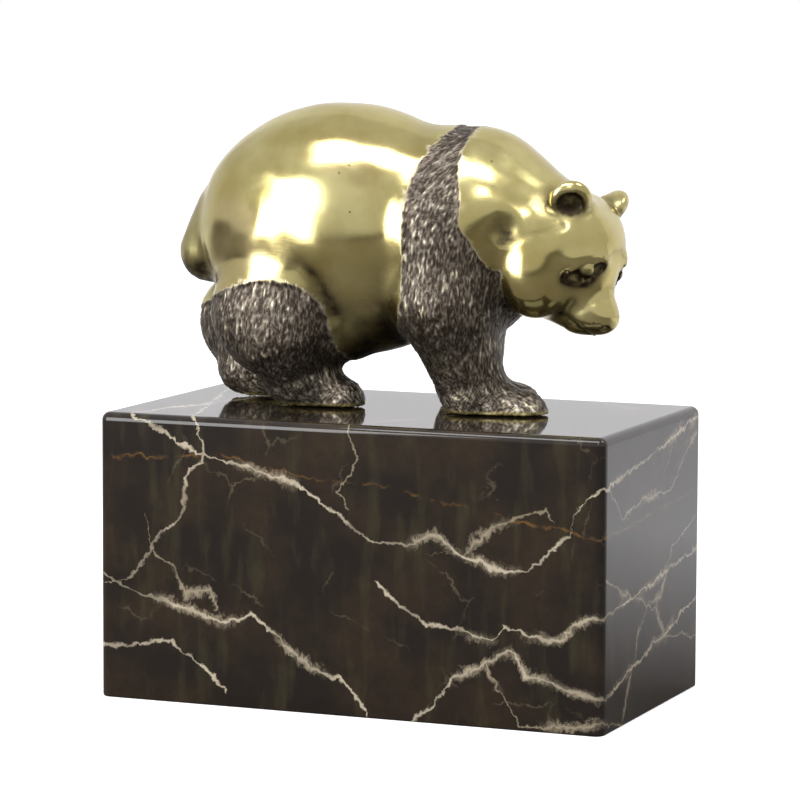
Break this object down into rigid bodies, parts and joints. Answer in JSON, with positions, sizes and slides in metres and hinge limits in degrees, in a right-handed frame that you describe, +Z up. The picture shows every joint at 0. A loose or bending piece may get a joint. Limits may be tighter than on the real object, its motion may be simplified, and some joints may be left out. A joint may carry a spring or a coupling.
{
  "type": "bear sculpture",
  "caption": "Cast bronze panda bear walking with its head low, polished over the body and chiselled as fur on the legs, on a rectangular block of dark veined marble.",
  "frame": {"origin": "middle of the underside of the marble block", "axes": "+Z up, +X along the block's long side and the way the bear walks, +Y towards the bear's left"},
  "size_m": [0.14, 0.078, 0.1556],
  "materials": {
    "bronze": "polished, with dark chiselled fur on the legs",
    "marble": "polished"
  },
  "bodies": {
    "root": {"bear": "bronze", "plinth": "marble"}
  },
  "joints": []
}
